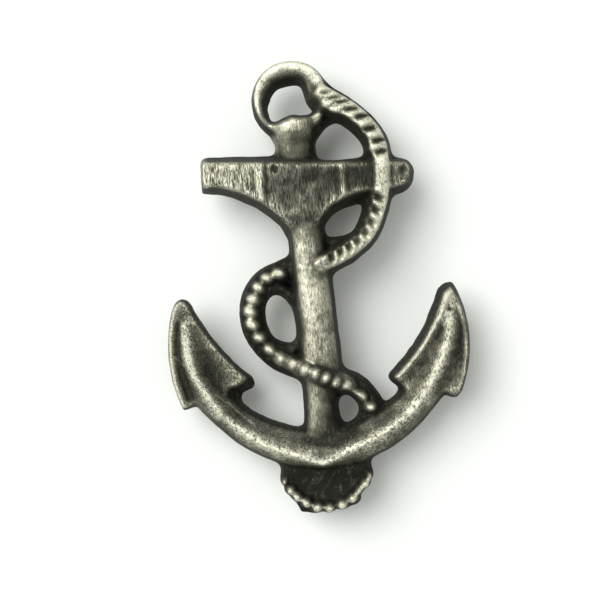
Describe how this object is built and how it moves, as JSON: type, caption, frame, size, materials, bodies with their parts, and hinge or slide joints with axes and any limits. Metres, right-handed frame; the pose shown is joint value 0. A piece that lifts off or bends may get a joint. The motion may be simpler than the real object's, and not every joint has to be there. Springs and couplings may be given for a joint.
{
  "type": "sew on button",
  "caption": "Anchor-shaped cast metal shank button with a rope wound round it, sewn on through a wire loop on its flat back.",
  "frame": {"origin": "on the flat back of the anchor's shank, midway between the two legs of the sewing loop that holds the button on", "axes": "+Z out of the decorated face, -Z out of the flat back, +Y along the anchor's shank towards its ring, +X to the right seen from the front"},
  "size_m": [0.019, 0.0281, 0.0056],
  "materials": {
    "shackle_ring": "worn antique silver on cast zinc",
    "anchor_shank": "worn antique silver on cast zinc",
    "stock": "worn antique silver on cast zinc",
    "upper_rope": "worn antique silver on cast zinc",
    "lower_rope": "dark antique silver, bright on the strands",
    "crown_arms": "worn antique silver on cast zinc",
    "left_fluke": "worn antique silver on cast zinc",
    "right_fluke": "worn antique silver on cast zinc",
    "crown_plate": "dark antique silver",
    "crown_rope": "worn antique silver on cast zinc",
    "sewing_loop": "plated wire, antiqued",
    "solder_fillet_upper": "dull solder",
    "solder_fillet_lower": "dull solder"
  },
  "bodies": {
    "root": {"shackle_ring": "shackle_ring", "anchor_shank": "anchor_shank", "stock": "stock", "upper_rope": "upper_rope", "lower_rope": "lower_rope", "crown_arms": "crown_arms", "left_fluke": "left_fluke", "right_fluke": "right_fluke", "crown_plate": "crown_plate", "crown_rope": "crown_rope", "sewing_loop": "sewing_loop", "solder_fillet_upper": "solder_fillet_upper", "solder_fillet_lower": "solder_fillet_lower"}
  },
  "joints": []
}
